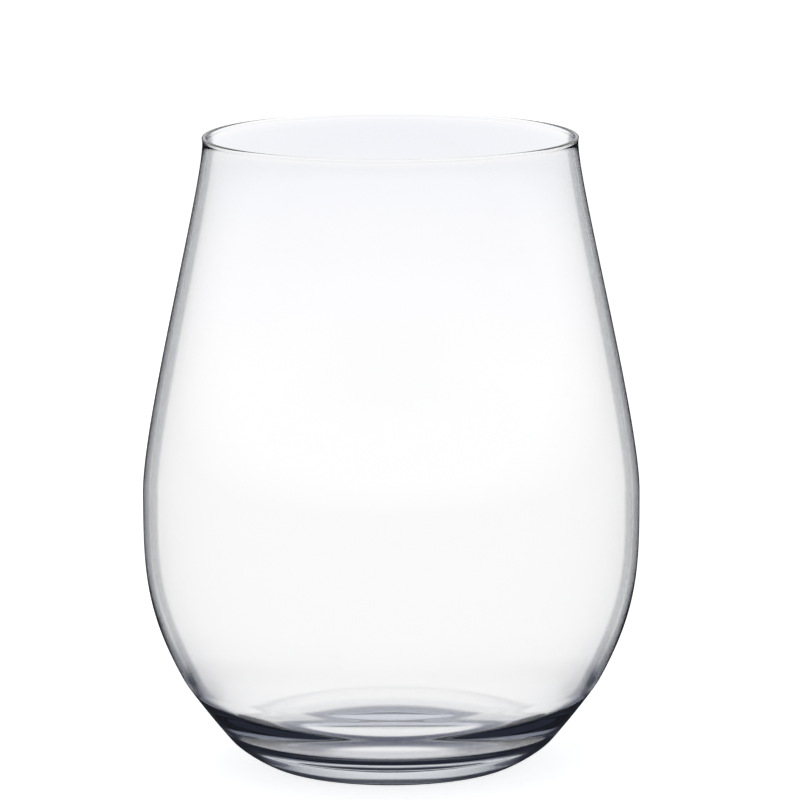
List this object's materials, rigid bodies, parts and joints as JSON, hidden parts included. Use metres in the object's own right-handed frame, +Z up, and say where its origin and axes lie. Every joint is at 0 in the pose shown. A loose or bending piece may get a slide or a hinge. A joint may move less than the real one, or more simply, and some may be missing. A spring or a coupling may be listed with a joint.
{
  "type": "stemless wine glass",
  "caption": "Large stemless wine glass: a clear, thin-walled egg-shaped bowl that narrows to the rim and stands on a thick, slightly hollow base.",
  "frame": {"origin": "middle of the ring that the glass stands on, at the height of the table", "axes": "+Z up along the axis that the bowl is turned about, towards the rim; X and Y are level, and any direction is as good as another"},
  "size_m": [0.095, 0.095, 0.121],
  "materials": {
    "clear_glass": "fire-polished, clear and smooth"
  },
  "bodies": {
    "root": {"wine_glass": "clear_glass"}
  },
  "joints": []
}
